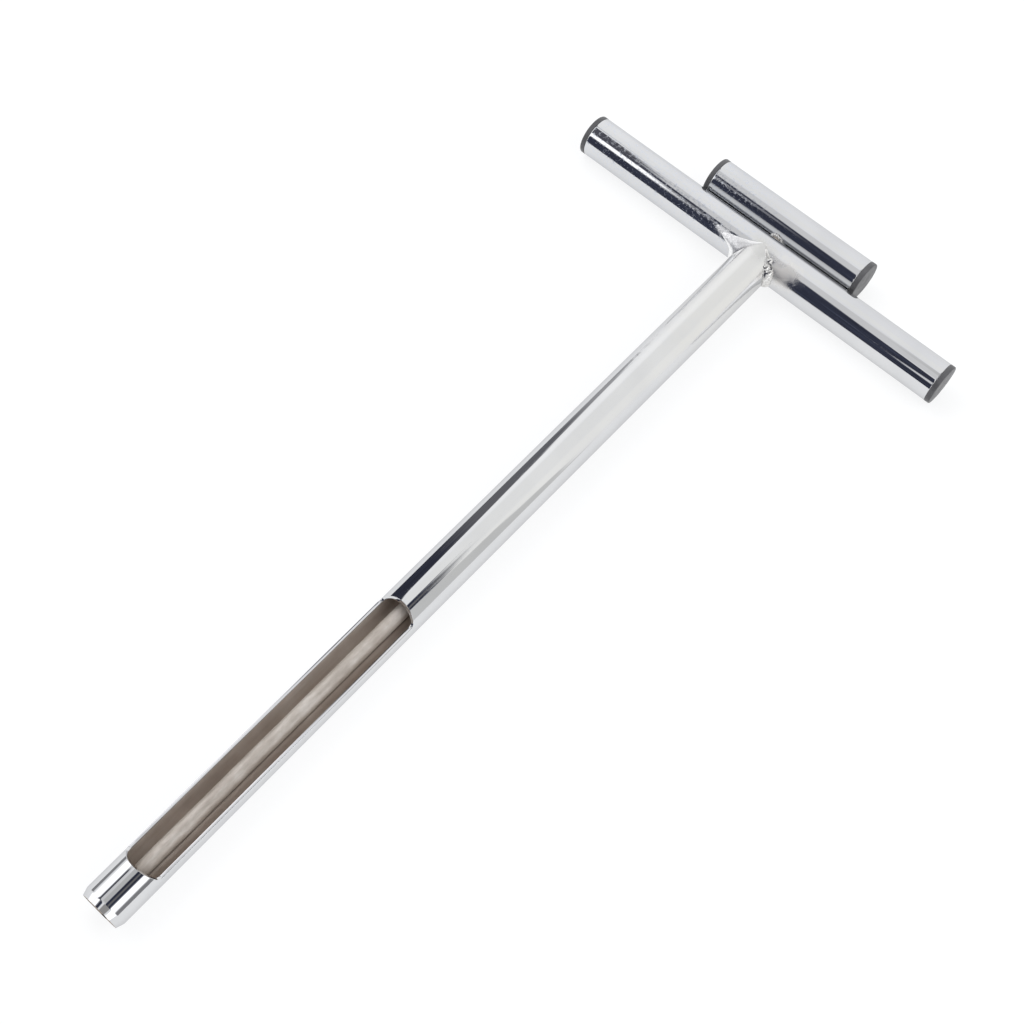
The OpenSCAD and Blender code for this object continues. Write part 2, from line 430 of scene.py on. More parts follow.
# %% Turned pieces
def finish_mesh(name, points, faces, slots, materials, sharp_deg=38.0):
    """A closed mesh: doubles merged, faces outwards, smooth but for its sharp edges."""
    mesh = bpy.data.meshes.new(name)
    mesh.from_pydata([tuple(p) for p in points], [], faces)
    for mat in materials:
        mesh.materials.append(mat)
    if slots:
        mesh.polygons.foreach_set("material_index", slots)
    work = bmesh.new()
    work.from_mesh(mesh)
    bmesh.ops.remove_doubles(work, verts=work.verts, dist=1e-6)
    bmesh.ops.recalc_face_normals(work, faces=work.faces)
    work.to_mesh(mesh)
    work.free()
    mesh.shade_smooth()
    mesh.set_sharp_from_angle(angle=math.radians(sharp_deg))
    piece = bpy.data.objects.new(name, mesh)
    bpy.context.scene.collection.objects.link(piece)
    return piece


def rounded(outline, radius, steps=3):
    """The same closed outline with each marked corner cut to an arc; points are (r, s, round)."""
    made = []
    count = len(outline)
    for i, (r, s, soft) in enumerate(outline):
        here = Vector((r, s))
        if not soft:
            made.append((r, s))
            continue
        before = Vector(outline[i - 1][:2]) - here
        after = Vector(outline[(i + 1) % count][:2]) - here
        back = min(radius * soft, before.length * 0.45, after.length * 0.45)
        start = here + before.normalized() * back
        end = here + after.normalized() * back
        for k in range(steps + 1):
            t = k / steps
            p = start.lerp(here, t).lerp(here.lerp(end, t), t)
            made.append((p.x, p.y))
    return made


def ring_faces(segments, count):
    """Quads that join each ring of points to the next, all the way round."""
    faces = []
    for k in range(segments):
        nxt = (k + 1) % segments
        for i in range(count):
            j = (i + 1) % count
            faces.append((k * count + i, k * count + j, nxt * count + j, nxt * count + i))
    return faces


def spun(name, outline, along, centre, material, segments=128, sharp_deg=38.0):
    """Spins a closed (radius, distance) outline round an axis through centre along X or Y."""
    points = []
    for k in range(segments):
        turn = 2 * math.pi * k / segments
        c, s = math.cos(turn), math.sin(turn)
        for r, d in outline:
            if along == "X":
                points.append((centre[0] + d, centre[1] + r * s, centre[2] + r * c))
            else:
                points.append((centre[0] + r * s, centre[1] + d, centre[2] + r * c))
    faces = ring_faces(segments, len(outline))
    return finish_mesh(name, points, faces, None, [material], sharp_deg)


def applied(piece):
    """The piece with its modifiers made part of its mesh."""
    bpy.context.view_layer.update()
    seen = piece.evaluated_get(bpy.context.evaluated_depsgraph_get())
    mesh = bpy.data.meshes.new_from_object(seen)
    piece.modifiers.clear()
    piece.data = mesh
    return mesh


def place_piece(piece, body, slot, *nodes):
    """A finished piece rides on its body and stands for its CAD nodes; its slot is not used."""
    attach(piece, body)
    if nodes:
        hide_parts(*nodes)
    tris = sum(len(p.vertices) - 2 for p in piece.data.polygons)
    print("  piece", piece.name, "triangles", tris)
    return piece


# %% [markdown]
# ## The sample tube
# A boolean cut would leave long thin faces that chrome shows as streaks. Instead the tube is laid
# out in rows along its length. In each row the wall runs round from one window edge to the other,
# so the rim is part of the grid, with its own small rounding. Where the window's sloped end passes
# through the wall, the cut face is as wide as the wall is thick: that is the bright crescent seen
# at both ends of the window.

# %% The window's outline
SLOPE_ANGLE = math.atan(1 / WINDOW_SLOPE)
SLOPE_RUN = (TUBE_R - WINDOW_FLOOR) * WINDOW_SLOPE
BEND_END = SLOPE_RUN + WINDOW_CORNER * math.tan(SLOPE_ANGLE / 2)
BEVEL_ROUND = 0.5 * MM


def window_height(y):
    """Height of the window's cut above the axis, y metres from the tip."""
    if y <= WINDOW_START or y >= WINDOW_END:
        return TUBE_R
    inwards = min(y - WINDOW_START, WINDOW_END - y)
    if inwards >= BEND_END:
        return WINDOW_FLOOR
    sine = (BEND_END - inwards) / WINDOW_CORNER
    if sine >= math.sin(SLOPE_ANGLE):
        return TUBE_R - inwards / WINDOW_SLOPE
    return WINDOW_FLOOR + WINDOW_CORNER * (1 - math.sqrt(1 - sine * sine))


def ground_radius(y):
    """Outside radius on the straight part of the tip's ground bevel."""
    return BORE_R + EDGE + (TUBE_R - BORE_R - EDGE) * y / BEVEL


def outer_radius(y):
    """Outside radius: the ground bevel at the tip, its back edge slightly rounded."""
    if y >= BEVEL + BEVEL_ROUND:
        return TUBE_R
    if y > BEVEL - BEVEL_ROUND:
        t = (y - BEVEL + BEVEL_ROUND) / (2 * BEVEL_ROUND)
        start = ground_radius(BEVEL - BEVEL_ROUND)
        return start * (1 - t) ** 2 + 2 * TUBE_R * t * (1 - t) + TUBE_R * t * t
    return ground_radius(y)


def window_rows():
    """Distances from the tip at which the wall is laid out, close together where it turns."""
    through = (TUBE_R - BORE_R) * WINDOW_SLOPE
    near = sorted({BEND_END * (i / 30) ** 2 for i in range(31)} | {through})
    rows = [BEVEL * i / 8 for i in range(8)]
    rows += [BEVEL + 0.25 * MM * i for i in range(-1, 4)]
    rows += [BEVEL + (WINDOW_START - BEVEL) * i / 6 for i in range(1, 6)]
    rows += [WINDOW_START + d for d in near]
    middle = WINDOW_END - WINDOW_START - 2 * BEND_END
    rows += [WINDOW_START + BEND_END + middle * i / 40 for i in range(1, 40)]
    rows += [WINDOW_END - d for d in near]
    upper = CROSS_Y - TIP_Y - TUBE_R - 3 * MM
    rows += [WINDOW_END + (upper - WINDOW_END) * i / 44 for i in range(1, 45)]
    return sorted(set(round(r, 9) for r in rows))


rows = window_rows()
print("rows along the tube:", len(rows))


# %% Laying out the wall
FAN = math.radians(76)
NEAR_STEPS, FAR_STEPS = 32, 46
RIM_ROUND = 0.2 * MM
SADDLE_SINK = 0.3 * MM
SADDLE_STEPS = 14


def half_angles(start):
    """Angles down one side of the tube, from the window's edge to the bottom."""
    near = [start + (FAN - start) * i / NEAR_STEPS for i in range(NEAR_STEPS + 1)]
    far = [FAN + (math.pi - FAN) * i / FAR_STEPS for i in range(1, FAR_STEPS + 1)]
    return near + far


def window_edge(radius, height):
    """At one radius: the opening's half width, its edge's rounding, and the angle past both."""
    if height >= radius:
        return 0.0, 0.0, 0.0
    x = math.sqrt(radius ** 2 - height ** 2)
    soft = min(RIM_ROUND, x / 3)
    return x, soft, math.asin(x / radius) + soft / radius


def wall_row(y, side):
    """Points of one half row: outer wall, rim from outside to inside, and inner wall."""
    height = window_height(y)
    r_out = outer_radius(y)
    x_out, soft, a_out = window_edge(r_out, height)
    x_in, soft_in, a_in = window_edge(BORE_R, height)

    def at(x, z):
        return Vector((side * x, TIP_Y + y, AXIS_Z + z))

    outer = [at(r_out * math.sin(a), r_out * math.cos(a)) for a in half_angles(a_out)]
    inner = [at(BORE_R * math.sin(a), BORE_R * math.cos(a)) for a in half_angles(a_in)]
    if x_out == 0.0:
        rim = [at(0, r_out)] * 8
    else:
        corner = at(x_out, height)
        on_face = at(x_out - soft, height)
        turned = (outer[0] + on_face) / 2 * 0.6 + corner * 0.4
        if x_in > 0.0:
            face_in = at(x_in + soft_in, height)
            corner_in = at(x_in, height)
            turned_in = (inner[0] + face_in) / 2 * 0.6 + corner_in * 0.4
            last = [face_in, turned_in, inner[0]]
        else:
            last = [at(0, height)] * 3
        mids = [on_face.lerp(last[0], t) for t in (1 / 3, 2 / 3)]
        rim = [outer[0], turned, on_face, *mids, *last]
    return outer, rim, inner


def saddle_end(point):
    """Where a line along the wall meets the cross handle: the fish-mouth end of the tube."""
    across = math.sqrt(max(TUBE_R ** 2 - (point.z - AXIS_Z) ** 2, 0.0))
    return Vector((point.x, CROSS_Y - across + SADDLE_SINK, point.z))


def build_sample_tube():
    """The whole tube, one half after the other; slot 1 is the bore, the rest is plated."""
    points, faces, slots = [], [], []

    def strip(columns_a, columns_b, slot):
        base = len(points)
        count = len(columns_a)
        points.extend(columns_a)
        points.extend(columns_b)
        for i in range(count - 1):
            faces.append((base + i, base + i + 1, base + count + i + 1, base + count + i))
            slots.append(slot)

    for side in (1, -1):
        laid = [wall_row(y, side) for y in rows]
        for (outer_a, rim_a, inner_a), (outer_b, rim_b, inner_b), y in zip(
                laid, laid[1:], rows):
            strip(outer_a, outer_b, 0)
            strip(inner_a, inner_b, 1)
            if WINDOW_START <= y < WINDOW_END:
                strip(rim_a, rim_b, 2)
        strip(laid[0][0], laid[0][2], 0)
        last_outer, _, last_inner = laid[-1]
        for first, slot in ((last_outer, 0), (last_inner, 1)):
            ends = [saddle_end(p) for p in first]
            levels = [[a.lerp(b, k / SADDLE_STEPS) for a, b in zip(first, ends)]
                      for k in range(SADDLE_STEPS + 1)]
            for low, high in zip(levels, levels[1:]):
                strip(low, high, slot)
        strip([saddle_end(p) for p in last_outer], [saddle_end(p) for p in last_inner], 1)
    return finish_mesh("sample_tube_plated", points, faces, slots,
                       [chrome_tube, bore_steel, chrome_tube], 34.0)


sample_tube = place_piece(build_sample_tube(), "sampler", "plated_tube",
                          "tube_tip", "tube_window", "tube_shaft")

# %% [markdown]
# ## The cross handle and the short handle
# Both handles are plain tube, spun from an outline with rounded ends. The cross handle is drilled
# for the rod. The hole only shows when the ejector is pulled out, so it is a boolean cut in a part
# of the tube where the rows are close together: the faces it disturbs stay small.

# %% Handle tubes
EDGE_ROUND = 0.25 * MM
HOLE_GAP = 0.06 * MM


def tube_outline(half, hole_half=0.0):
    """Closed outline of a tube of the given half length, with close rows round a hole."""
    # two rows just inside each end keep the long faces' shading straight
    near_end = (half - 0.8 * MM, half - 2.5 * MM)
    middle = []
    if hole_half:
        count = 28
        middle = [hole_half - 2 * hole_half * i / count for i in range(count + 1)]
    levels = [*near_end, *middle, *(-d for d in reversed(near_end))]
    ends = [(BORE_R, half, 1), (TUBE_R, half, 1.5)]
    outer = [(TUBE_R, d, 0) for d in levels]
    back = [(TUBE_R, -half, 1.5), (BORE_R, -half, 1)]
    inner = [(BORE_R, d, 0) for d in reversed(levels)]
    return rounded(ends + outer + back + inner, EDGE_ROUND)


def drilled(piece, radius, y_low, y_high):
    """The piece with a round hole cut through it along Y."""
    outline = [(0.0, y_low), (radius, y_low), (radius, y_high), (0.0, y_high)]
    drill = spun("drill", outline, "Y", (0.0, 0.0, AXIS_Z), chrome_cross, segments=96)
    cut = piece.modifiers.new("hole", "BOOLEAN")
    cut.operation = "DIFFERENCE"
    cut.solver = "EXACT"
    cut.object = drill
    mesh = applied(piece)
    bpy.data.objects.remove(drill)
    mesh.shade_smooth()
    mesh.set_sharp_from_angle(angle=math.radians(38))
    return piece


cross_half = (cross_high.x - cross_low.x) / 2
cross_tube = spun("cross_handle_plated", tube_outline(cross_half, 9 * MM), "X",
                  (0.0, CROSS_Y, AXIS_Z), chrome_cross, segments=192)
cross_tube = drilled(cross_tube, ROD_R + HOLE_GAP, CROSS_Y - 2 * TUBE_R, CROSS_Y + 2 * TUBE_R)
place_piece(cross_tube, "sampler", "plated_tube", "cross_handle")

eject_half = (eject_high.x - eject_low.x) / 2
short_tube = spun("ejector_handle_plated", tube_outline(eject_half), "X",
                  (0.0, EJECT_Y, AXIS_Z), chrome_short, segments=192)
place_piece(short_tube, "ejector_grip", "plated_tube", "ejector_handle")

# %% [markdown]
# ## End caps
# Four equal moulded caps close the handle tubes. Each is a flange with a soft edge and a slightly
# domed face over a hollow plug. Two ribs on the plug grip the inside of the tube. One function
# makes them all, turned to face its end.

# %% Caps
DOME = 0.18 * MM


def cap_outline():
    """Closed outline of a cap; distance 0 is the tube's end and the flange is positive."""
    plug = -14.0 * MM
    core = BORE_R - 0.45 * MM
    rib = BORE_R - 0.03 * MM
    dome = [(TUBE_R * 0.86 * (1 - i / 6), FLANGE - DOME * (1 - i / 6) ** 2, 0)
            for i in range(7)]
    outline = [
        (0.0, -1.6 * MM, 0),
        (core - 2.0 * MM, -1.6 * MM, 1),
        (core - 2.0 * MM, plug, 1),
        (core - 0.6 * MM, plug, 1),
        (core, plug + 1.2 * MM, 1),
        (core, plug * 0.45 - 2.6 * MM, 0),
        (rib, plug * 0.45 - 2.0 * MM, 1),
        (rib, plug * 0.45 - 0.6 * MM, 1),
        (core, plug * 0.45, 0),
        (core, -2.6 * MM, 0),
        (rib, -2.0 * MM, 1),
        (rib, 0.0, 0),
        (TUBE_R + 0.02 * MM, 0.0, 0.6),
        (TUBE_R + 0.02 * MM, FLANGE - DOME, 3.4),
    ]
    return rounded(outline + dome, EDGE_ROUND, steps=5)


def build_cap(name, x, y):
    """A cap on the handle end at x, facing outwards."""
    away = 1 if x > 0 else -1
    outline = [(r, away * d) for r, d in cap_outline()]
    return spun(name, outline, "X", (x, y, AXIS_Z), cap_plastic, sharp_deg=50)


for name, x, y, body, node in (
        ("cap_cross_left", cross_low.x, CROSS_Y, "sampler", "grip_cap_left"),
        ("cap_cross_right", cross_high.x, CROSS_Y, "sampler", "grip_cap_right"),
        ("cap_short_left", eject_low.x, EJECT_Y, "ejector_grip", "ejector_cap_left"),
        ("cap_short_right", eject_high.x, EJECT_Y, "ejector_grip", "ejector_cap_right")):
    place_piece(build_cap(name, x, y), body, "black_plastic", node)

# %% [markdown]
# ## The ejector's rod and head
# The rod is one turned bar. Its lower end is stepped down and takes a piston, a washer and a nut,
# all hidden in the tip while the ejector is home. They still show through the window when the
# ejector is drawn back, so they get their chamfers and their six flats.

# %% Rod, piston, washer and nut
STUB_R = ROD_R * 0.75


def turned_on_rod(name, outline, material, node, segments=96):
    """A piece turned about the rod's axis."""
    piece = spun(name, outline, "Y", (0.0, 0.0, AXIS_Z), material, segments)
    return place_piece(piece, "ejector", "rod_steel", node)


def disc_outline(low, high, soft, radius, steps):
    """A disc with the stub's hole and rounded rims, from the box of its CAD node."""
    rim = (high.x - low.x) / 2
    return rounded([(STUB_R, low.y, 0), (rim, low.y, soft), (rim, high.y, soft),
                    (STUB_R, high.y, 0)], radius, steps)


turned_on_rod("ejector_rod_turned", rounded([
    (0.0, rod_low.y, 0), (STUB_R, rod_low.y, 1.6), (STUB_R, piston_high.y, 0),
    (ROD_R, piston_high.y, 1), (ROD_R, rod_high.y, 1.5), (0.0, rod_high.y, 0)], EDGE_ROUND),
    rod_steel, "ejector_rod")
turned_on_rod("piston_turned", disc_outline(piston_low, piston_high, 2.4, EDGE_ROUND, 5),
              head_steel, "piston", 128)
turned_on_rod("washer_pressed", disc_outline(washer_low, washer_high, 1, 0.2 * MM, 3),
              head_steel, "piston_washer")


def build_nut():
    """A hexagon whose corners are cut by a cone at both ends, as a real nut's are."""
    flat = (nut_high.z - nut_low.z) / 2
    corner = flat / math.cos(math.pi / 6)
    low, high = nut_low.y, nut_high.y
    around = 96
    chamfer = 0.8 * MM
    levels = [low, low + 0.35 * MM, low + chamfer, high - chamfer, high - 0.35 * MM, high]
    points = []
    for k in range(around):
        turn = 2 * math.pi * k / around
        within = (turn + math.pi / 6) % (math.pi / 3) - math.pi / 6
        hexagon = flat / math.cos(within)
        loop = [(STUB_R, high), (STUB_R, low)]
        for y in levels:
            from_end = min(y - low, high - y)
            cone = flat * 0.95 + (corner - flat * 0.95) * min(1.0, from_end / chamfer)
            loop.append((min(hexagon, cone), y))
        for r, y in loop:
            points.append((r * math.sin(turn), y, AXIS_Z + r * math.cos(turn)))
    faces = ring_faces(around, len(levels) + 2)
    return finish_mesh("nut_hexagon", points, faces, None, [head_steel], 24.0)


place_piece(build_nut(), "ejector", "rod_steel", "piston_nut")

# %% [markdown]
# ## Weld beads
# A weld bead is a row of small molten puddles that froze one over the next. That is a shape that
# repeats along a path, so Geometry Nodes lay it: each point of the path carries how its puddle
# leans and how big it is, an ico sphere is set on each point, squashed and turned, and a voxel
# remesh melts the row together. The path is the line where two tubes meet.

# %% The puddle tree
def build_puddle_tree():
    """A squashed, turned drop on every point of a path, with a chance difference in size."""
    tree = bpy.data.node_groups.new("weld_puddles", "GeometryNodeTree")
    group_socket(tree, "Path", "NodeSocketGeometry")
    group_socket(tree, "Puddle Size", "NodeSocketFloat", value=1.0)
    group_socket(tree, "Wobble", "NodeSocketFloat", value=0.15)
    group_socket(tree, "Seed", "NodeSocketInt", value=3)
    group_socket(tree, "Finish", "NodeSocketMaterial")
    group_socket(tree, "Bead", "NodeSocketGeometry", out=True)
    link = tree.links.new
    gin = tree.nodes.new("NodeGroupInput")
    gout = tree.nodes.new("NodeGroupOutput")
    drop = add_node(tree, "GeometryNodeMeshIcoSphere", inputs={"Radius": 1.0, "Subdivisions": 4})
    lean = add_node(tree, "GeometryNodeInputNamedAttribute", data_type="FLOAT_VECTOR",
                    inputs={"Name": "lean"})
    girth = add_node(tree, "GeometryNodeInputNamedAttribute", data_type="FLOAT_VECTOR",
                     inputs={"Name": "girth"})
    turn = add_node(tree, "FunctionNodeEulerToRotation")
    link(lean.outputs["Attribute"], turn.inputs[0])
    chance = add_node(tree, "FunctionNodeRandomValue", data_type="FLOAT")
    link(combine(tree, 1.0, gin.outputs["Wobble"], "SUBTRACT"), chance.inputs[2])
    link(combine(tree, 1.0, gin.outputs["Wobble"], "ADD"), chance.inputs[3])
    link(gin.outputs["Seed"], chance.inputs["Seed"])
    scaled = add_node(tree, "ShaderNodeVectorMath", operation="SCALE")
    link(girth.outputs["Attribute"], scaled.inputs[0])
    link(combine(tree, chance.outputs[1], gin.outputs["Puddle Size"]), scaled.inputs["Scale"])
    laid = add_node(tree, "GeometryNodeInstanceOnPoints")
    link(gin.outputs["Path"], laid.inputs["Points"])
    link(drop.outputs["Mesh"], laid.inputs["Instance"])
    link(turn.outputs[0], laid.inputs["Rotation"])
    link(scaled.outputs["Vector"], laid.inputs["Scale"])
    real = add_node(tree, "GeometryNodeRealizeInstances")
    link(laid.outputs["Instances"], real.inputs["Geometry"])
    dressed = add_node(tree, "GeometryNodeSetMaterial")
    link(real.outputs["Geometry"], dressed.inputs["Geometry"])
    link(gin.outputs["Finish"], dressed.inputs["Material"])
    link(dressed.outputs["Geometry"], gout.inputs["Bead"])
    return tree


puddle_tree = build_puddle_tree()
print("weld tree nodes:", len(puddle_tree.nodes))


# %% Laying a bead
def bead(name, puddles, wobble, seed, voxel, smooth, body=None):
    """A melted row of puddles. Each puddle is (centre, along, outward, (three radii)). A body,
    if there is one, is melted in with them and removed."""
    mesh = bpy.data.meshes.new(name)
    mesh.from_pydata([tuple(p[0]) for p in puddles], [], [])
    lean = mesh.attributes.new("lean", "FLOAT_VECTOR", "POINT")
    girth = mesh.attributes.new("girth", "FLOAT_VECTOR", "POINT")
    for i, (_, along, outward, radii) in enumerate(puddles):
        x_axis = Vector(along).normalized()
        z_axis = (Vector(outward) - x_axis * x_axis.dot(Vector(outward))).normalized()
        y_axis = z_axis.cross(x_axis)
        axes = Matrix((x_axis, y_axis, z_axis)).transposed()
        lean.data[i].vector = axes.to_euler("XYZ")
        girth.data[i].vector = radii
    piece = bpy.data.objects.new(name, mesh)
    bpy.context.scene.collection.objects.link(piece)
    laid = piece.modifiers.new("puddles", "NODES")
    laid.node_group = puddle_tree
    names = {s.name: s.identifier for s in puddle_tree.interface.items_tree
             if s.in_out == "INPUT"}
    for key, value in (("Puddle Size", 1.0), ("Wobble", wobble), ("Seed", seed),
                       ("Finish", weld_chrome)):
        laid[names[key]] = value
    laid_mesh = applied(piece)
    if body is not None:
        joined = bmesh.new()
        joined.from_mesh(laid_mesh)
        joined.from_mesh(body.data)
        joined.to_mesh(laid_mesh)
        joined.free()
        bpy.data.objects.remove(body)
    melt = piece.modifiers.new("melt", "REMESH")
    melt.mode = "VOXEL"
    melt.voxel_size = voxel
    melt.use_smooth_shade = True
    if smooth:
        ease = piece.modifiers.new("ease", "SMOOTH")
        ease.iterations = smooth
    made = applied(piece)
    made.materials.clear()
    made.materials.append(weld_chrome)
    made.shade_smooth()
    return piece


def corner_fillet(side, leg_shaft, leg_cross, bulge, lump, lip, seed):
    """The bead's body in one corner: closed points and faces, thin at top and bottom.

    At each angle round the corner the section is a triangle: from the cross handle's wall to the
    sample tube's wall, with a slightly full face and rounded toes that leave a fine line."""
    rng = random.Random(seed)
    waves = [(rng.uniform(2, 16), rng.uniform(0, 6.3), rng.uniform(0.3, 1.0)) for _ in range(7)]
    around, across = 150, 18
    points, faces = [], []
    for i in range(around + 1):
        angle = math.radians(-78 + 164 * i / around)
        c, s = math.cos(angle), math.sin(angle)
        corner = Vector((side * TUBE_R * c, CROSS_Y - TUBE_R * c, AXIS_Z + TUBE_R * s))
        thin = max(c, 0.0) ** 0.8
        toe_cross = Vector((leg_cross(angle) * side, 0, 0))
        toe_shaft = Vector((0, -leg_shaft * thin, 0))
        outward = Vector((side * c, -c, 1.2 * s)).normalized()
        uneven = sum(a * math.sin(f * angle + p) for f, p, a in waves) / 3
        for j in range(across + 1):
            w = j / across
            base = corner + toe_cross * (1 - w) + toe_shaft * w
            toe = min(1.0, min(w, 1 - w) * across / 1.5)
            rise = math.sqrt(max(0.0, 1 - (1 - toe) ** 2)) * lip
            full = bulge * thin * math.sin(math.pi * w)
            ripple = lump * thin * uneven * math.sin(math.pi * w)
            end = min(1.0, i / 5, (around - i) / 5)
            points.append(base + outward * (rise * end + full + ripple - 0.02 * MM))
        inward = corner - outward * 1.0 * MM
        points.append(inward + toe_shaft * 0.9)
        points.append(inward)
        points.append(inward + toe_cross * 0.9)
    row = across + 4
    for i in range(around):
        for j in range(row):
            k = (j + 1) % row
            faces.append((i * row + j, i * row + k, (i + 1) * row + k, (i + 1) * row + j))
    faces.append(tuple(range(row)))
    faces.append(tuple(around * row + j for j in reversed(range(row))))
    return points, faces


def leg_along(plain, extra, middle, spread):
    """A bead's reach along the cross handle: plain all round, and extra near one angle."""
    def reach(angle):
        lean = math.exp(-((math.degrees(angle) - middle) / spread) ** 2)
        return (plain * max(math.cos(angle), 0.0) ** 0.8 + extra * lean) * MM
    return reach


left_leg = leg_along(2.6, 13.0, 45, 19)  # dressed back along the handle on its upper side
right_leg = leg_along(3.6, 1.6, 40, 22)
weld_left = finish_mesh(
    "weld_left_bead", *corner_fillet(-1, 2.6 * MM, left_leg, 0.35 * MM, 0.12 * MM, 0.08 * MM, 5),
    None, [weld_dressed], 80)
place_piece(weld_left, "sampler", "weld_metal", "weld_left")
weld_right_body = finish_mesh(
    "weld_right_body", *corner_fillet(1, 3.4 * MM, right_leg, 0.4 * MM, 0.2 * MM, 0.16 * MM, 8),
    None, [weld_chrome], 80)


def right_puddles():
    """Four heavy puddles on the upper half of the right bead, each part way over the last."""
    made = []
    for degrees, out, off, size in ((52, 1.0, 1.7, 1.5), (38, 0.9, -0.4, 2.0), (26, 1.2, 1.3, 2.3),
                                    (12, 0.8, -0.5, 1.9)):
        angle = math.radians(degrees)
        c, s = math.cos(angle), math.sin(angle)
        point = Vector((TUBE_R * c, CROSS_Y - TUBE_R * c, AXIS_Z + TUBE_R * s))
        outward = Vector((c, -c, 2 * s)).normalized()
        along = Vector((-s, s, c))
        centre = point + outward * out * MM + Vector((0.7, 0.7, 0)) * off * MM
        made.append((centre, along, outward, (size * MM, size * 1.15 * MM, size * 0.85 * MM)))
    return made


weld_right = bead("weld_right_bead", right_puddles(), 0.12, 11, 0.22 * MM, 2, weld_right_body)
place_piece(weld_right, "sampler", "weld_metal", "weld_right")


# %% [markdown]
# The rod is welded to the short handle's underside with one quick ring of puddles. It was the last
# weld made and nobody dressed it, so it is uneven, with its biggest lump on the side that faces up.

# %% The rod's weld
def ring_puddles(count=16):
    """Puddles round the rod, where it meets the short handle's wall."""
    made = []
    reach = ROD_R + 0.4 * MM
    for i in range(count):
        turn = 2 * math.pi * i / count
        c, s = math.cos(turn), math.sin(turn)
        across = math.sqrt(TUBE_R ** 2 - (reach * c) ** 2)
        base_y = EJECT_Y - across - 0.3 * MM
        centre = Vector((reach * s, base_y, AXIS_Z + reach * c))
        outward = Vector((s, -0.6, c)).normalized()
        along = Vector((c, 0.0, -s))
        big = 1.0 + 0.18 * max(c, 0.0)
        made.append((centre, along, outward, (1.0 * MM * big, 0.95 * MM * big, 1.05 * MM * big)))
    return made


rod_weld = bead("rod_weld_bead", ring_puddles(), 0.18, 7, 0.2 * MM, 1)
place_piece(rod_weld, "ejector_grip", "weld_metal", "rod_weld")

# %% [markdown]
# ## Floor
# The tool rests on a plain pale sheet. It is lit almost to white, with only a faint contact
# shadow, so part of its brightness is its own glow and the rest is light that falls on it.

# %% Floor
def build_floor():
    mesh = bpy.data.meshes.new("floor")
    reach = 6.0
    mesh.from_pydata([(-reach, -reach, 0), (reach, -reach, 0), (reach, reach, 0),
                      (-reach, reach, 0)], [], [(0, 1, 2, 3)])
    mat, tree, shader, place = new_material(
        "floor_sheet", Roughness=0.9, Emission_Color=(1.0, 1.0, 1.0, 1.0),
        Emission_Strength=0.80, Specular_IOR_Level=0.0)
    shade = ramp(tree, noise(tree, place, 3.0, 2.0),
                 [(0.3, (0.205, 0.21, 0.215)), (0.7, (0.225, 0.23, 0.235))])
    tree.links.new(shade, shader.inputs["Base Color"])
    mesh.materials.append(mat)
    floor = bpy.data.objects.new("floor", mesh)
    bpy.context.scene.collection.objects.link(floor)
    return floor


floor = build_floor()

# %% [markdown]
# ## Studio light
# A mirror needs a room to mirror. The room here is a pale light tent, drawn in the world's shader
# from the direction alone: bright all round, a slightly darker ceiling, and the few dark openings
# that give polished tube its crisp bands. Each opening is a soft-edged patch, given by where its
# direction points to the right and away, and broken up by a bluish noise like a cluttered dark
# room.

